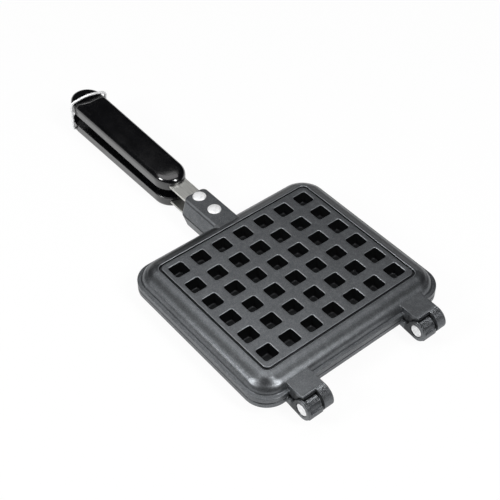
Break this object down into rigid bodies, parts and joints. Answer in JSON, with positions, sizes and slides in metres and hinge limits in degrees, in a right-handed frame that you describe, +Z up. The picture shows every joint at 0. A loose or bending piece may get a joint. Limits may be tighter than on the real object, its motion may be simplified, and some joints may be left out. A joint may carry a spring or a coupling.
{
  "type": "stovetop waffle iron",
  "caption": "Closed stovetop waffle iron: two hinged, coated cast plates with square pockets, riveted tangs, long black handles and a wire bail that holds them together.",
  "frame": {"origin": "centre of the lower plate's underside, in the plane the closed iron rests on", "axes": "+Z up through the plates; +Y from the hinge towards the ends of the handles; +X along the hinge, to the right when seen from the hinge side"},
  "size_m": [0.1616, 0.3527, 0.0354],
  "materials": {
    "coated_casting": "cast, with a dark grey non-stick coating, satin with a fine grain",
    "tang_steel": "flat bright strip, lightly drawn along its length",
    "bright_steel": "bright rivets, pins and wire",
    "moulded_black": "moulded black, polished to a soft gloss"
  },
  "bodies": {
    "lower": {"lower_plate": "coated_casting", "lower_tang": "tang_steel", "lower_rivet_front": "bright_steel", "lower_rivet_rear": "bright_steel", "lower_handle": "moulded_black", "lower_handle_screw": "tang_steel", "hinge_pin_left": "bright_steel", "hinge_pin_right": "bright_steel"},
    "upper": {"upper_plate": "coated_casting", "upper_tang": "tang_steel", "upper_rivet_front": "bright_steel", "upper_rivet_rear": "bright_steel", "upper_handle": "moulded_black", "upper_handle_screw": "tang_steel"},
    "bail": {"handle_bail": "bright_steel"}
  },
  "joints": [
    {"name": "plate_hinge", "type": "hinge", "parent": "lower", "child": "upper", "pos_m": [0, -0.0857, 0.0146], "axis": [1, 0, 0], "range_deg": [0, 95]},
    {"name": "bail_swing", "type": "hinge", "parent": "lower", "child": "bail", "pos_m": [0, 0.246, 0.0058], "axis": [-1, 0, 0], "range_deg": [-5, 250]}
  ]
}
